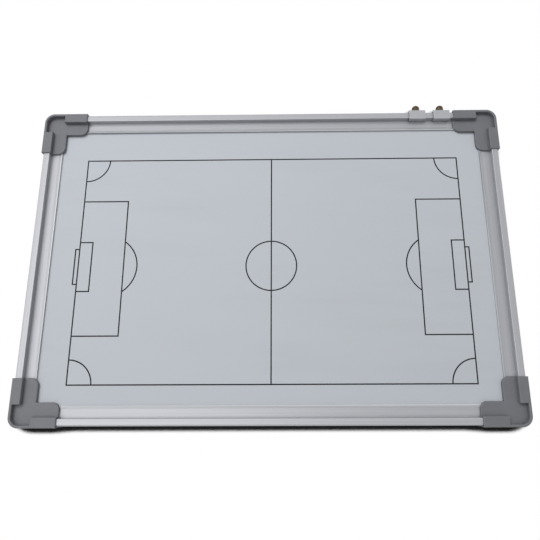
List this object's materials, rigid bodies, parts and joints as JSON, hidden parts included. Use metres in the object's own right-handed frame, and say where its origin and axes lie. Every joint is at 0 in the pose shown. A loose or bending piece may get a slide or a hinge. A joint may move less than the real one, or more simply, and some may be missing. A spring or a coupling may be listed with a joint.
{
  "type": "tactics board",
  "caption": "Small dry-wipe football tactics board in an aluminium frame, with moulded corner caps and sliding hanger clips held by clamp screws.",
  "frame": {"origin": "under the middle of the frame, in the plane of the four corner caps' back faces", "axes": "+X along the long side, +Y across the board towards the rail with the hanger clips, +Z out of the writing surface"},
  "size_m": [0.4528, 0.3099, 0.0163],
  "materials": {
    "enamel": "gloss",
    "fibreboard": "matte",
    "back_steel": "satin",
    "ink": "satin",
    "frame": "satin",
    "cap": "satin",
    "screw": "satin",
    "clip": "satin",
    "bush": "satin",
    "washer": "satin",
    "clamp_screw": "gloss"
  },
  "bodies": {
    "board": {"writing_surface": "enamel", "core_panel": "fibreboard", "back_sheet": "back_steel", "pitch_markings": "ink", "top_rail": "frame", "bottom_rail": "frame", "left_stile": "frame", "right_stile": "frame", "corner_cap_bottom_left": "cap", "corner_screws_bottom_left": "screw", "corner_cap_bottom_right": "cap", "corner_screws_bottom_right": "screw", "corner_cap_top_right": "cap", "corner_screws_top_right": "screw", "corner_cap_top_left": "cap", "corner_screws_top_left": "screw"},
    "clip_left": {"hanger_clip_left": "clip", "threaded_bush_left": "bush"},
    "washer_left": {"clamp_washer_left": "washer"},
    "screw_left": {"clamp_screw_left": "clamp_screw"},
    "clip_right": {"hanger_clip_right": "clip", "threaded_bush_right": "bush"},
    "washer_right": {"clamp_washer_right": "washer"},
    "screw_right": {"clamp_screw_right": "clamp_screw"}
  },
  "joints": [
    {"name": "clip_left_slide", "type": "slide", "parent": "board", "child": "clip_left", "axis": [1, 0, 0], "range_m": [-0.323, 0.0035]},
    {"name": "washer_left_lift", "type": "slide", "parent": "clip_left", "child": "washer_left", "axis": [0, 1, 0], "range_m": [-0.00034, 0.0014]},
    {"name": "clamp_left_turn", "type": "hinge", "parent": "washer_left", "child": "screw_left", "pos_m": [0.148, 0.155, 0.0111], "axis": [0, 1, 0], "range_deg": [-175, 720.5]},
    {"name": "clip_right_slide", "type": "slide", "parent": "board", "child": "clip_right", "axis": [1, 0, 0], "range_m": [-0.0035, 0.0035]},
    {"name": "washer_right_lift", "type": "slide", "parent": "clip_right", "child": "washer_right", "axis": [0, 1, 0], "range_m": [-0.00034, 0.0014]},
    {"name": "clamp_right_turn", "type": "hinge", "parent": "washer_right", "child": "screw_right", "pos_m": [0.1721, 0.155, 0.0111], "axis": [0, 1, 0], "range_deg": [-175, 720.5]}
  ],
  "couplings": [
    {"joint": "clamp_left_turn", "follows": "washer_left_lift", "rad_per_m": 8976},
    {"joint": "clamp_right_turn", "follows": "washer_right_lift", "rad_per_m": 8976}
  ]
}
